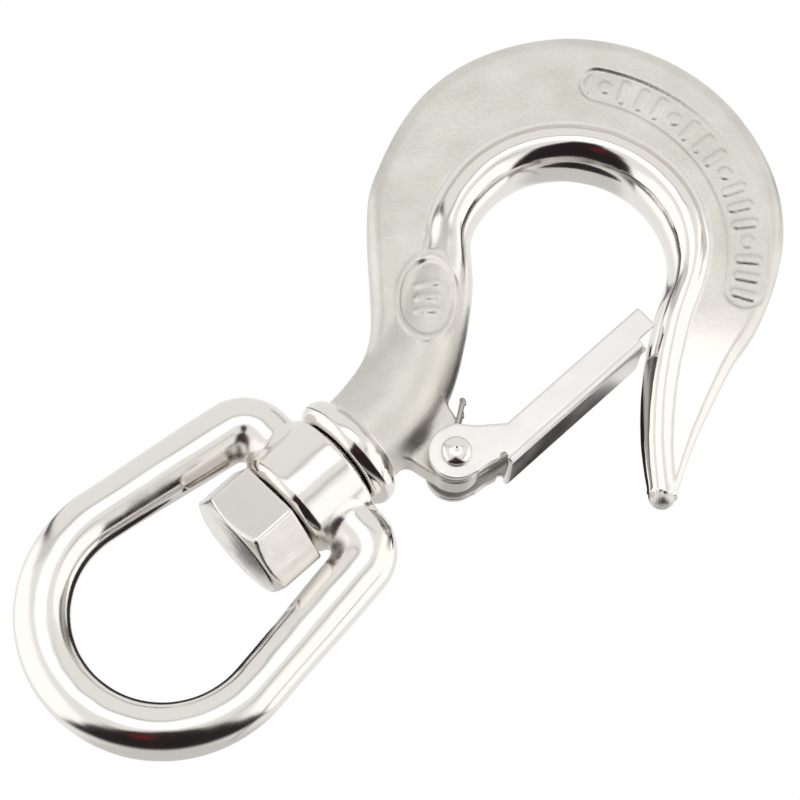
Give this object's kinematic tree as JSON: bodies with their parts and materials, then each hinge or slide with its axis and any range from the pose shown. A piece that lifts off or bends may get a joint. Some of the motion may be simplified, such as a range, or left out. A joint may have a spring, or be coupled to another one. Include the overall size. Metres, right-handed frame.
{
  "type": "swivel hook",
  "caption": "Swivel eye cargo hook: a round-bar eye turning on a bolt in a cast hook whose throat is closed by a sprung latch plate.",
  "frame": {"origin": "load seat of the eye: the innermost point of the bow on the bolt axis", "axes": "+Z along the bolt axis towards the bow of the eye, the hook lies in the XZ plane with its point towards -X, +Y is the thickness of the hook"},
  "size_m": [0.089, 0.022, 0.1694],
  "materials": {
    "eye_steel": "polished forged stainless steel",
    "bolt_steel": "satin stainless steel",
    "hook_steel": "cast stainless steel, satin web and polished bowl",
    "latch_steel": "tumbled stainless sheet",
    "rivet_steel": "polished stainless rivet",
    "pin_steel": "ground stainless pin",
    "spring_steel": "drawn spring wire"
  },
  "bodies": {
    "eye": {"swivel_eye": "eye_steel"},
    "hook": {"hook_body": "hook_steel", "swivel_bolt": "bolt_steel", "lock_pin": "pin_steel", "latch_rivet": "rivet_steel", "latch_spring": "spring_steel"},
    "latch": {"latch_plate": "latch_steel"}
  },
  "joints": [
    {"name": "swivel", "type": "hinge", "parent": "eye", "child": "hook", "pos_m": [0, 0, -0.0498], "axis": [0, 0, 1], "continuous": true},
    {"name": "latch_pivot", "type": "hinge", "parent": "hook", "child": "latch", "pos_m": [-0.0144, 0, -0.0722], "axis": [0, -1, 0], "range_deg": [0, 38], "stiffness_Nm_per_rad": 0.03, "springref_deg": -34.38, "deforming": ["latch_spring"]}
  ]
}
